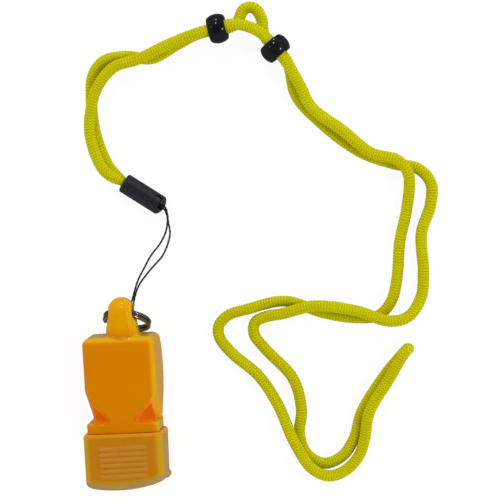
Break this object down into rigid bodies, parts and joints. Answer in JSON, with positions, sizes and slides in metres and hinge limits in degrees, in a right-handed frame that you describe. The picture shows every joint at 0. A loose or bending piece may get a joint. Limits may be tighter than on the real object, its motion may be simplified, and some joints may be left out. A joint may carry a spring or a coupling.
{
  "type": "sports whistle with neck cord",
  "caption": "Orange pealess sports whistle with a soft ribbed mouth grip, a split ring through its lug, and a doubled yellow neck cord with black beads and a ferrule.",
  "frame": {"origin": "on the surface that the whistle lies on, under the middle of the whistle's own outline, cord and ferrule not counted", "axes": "+Y runs from the mouthpiece to the lug, +Z is the normal of the flat front face, +X is to the right seen from the front"},
  "size_m": [0.1075, 0.1435, 0.0198],
  "materials": {
    "body_plastic": "moulded, glossy, slightly see-through orange",
    "grip_silicone": "frosted soft silicone, see-through",
    "ring_steel": "dark polished wire",
    "string_fibre": "smooth black string",
    "ferrule_plastic": "satin black",
    "core_plastic": "dark grey",
    "cord_knit": "knitted yellow-green cord",
    "bead_plastic": "glossy black"
  },
  "bodies": {
    "whistle": {"front_shell": "body_plastic", "belly_shell": "body_plastic", "divider_left": "body_plastic", "divider_right": "body_plastic", "windway_block": "body_plastic", "lanyard_cord": "cord_knit", "string_loop": "string_fibre", "string_knot": "string_fibre", "ferrule_sleeve": "ferrule_plastic", "ferrule_core": "core_plastic"},
    "grip": {"mouth_grip": "grip_silicone"},
    "ring": {"split_ring": "ring_steel"},
    "first_bead": {"bead_first": "bead_plastic"},
    "second_bead": {"bead_second": "bead_plastic"}
  },
  "joints": [
    {"name": "grip_pull", "type": "slide", "parent": "whistle", "child": "grip", "axis": [0, -1, 0], "range_m": [0, 0.018]},
    {"name": "ring_swing", "type": "hinge", "parent": "whistle", "child": "ring", "pos_m": [0.001, 0.0237, 0.0125], "axis": [1, 0, 0], "range_deg": [0, 225], "deforming": ["string_loop"]},
    {"name": "first_bead_slide", "type": "slide", "parent": "whistle", "child": "first_bead", "axis": [0.9839, 0.1789, 0], "range_m": [-0.002, 0.0012]},
    {"name": "second_bead_slide", "type": "slide", "parent": "whistle", "child": "second_bead", "axis": [0.6075, -0.7943, 0], "range_m": [-0.0014, 0.0014]}
  ]
}
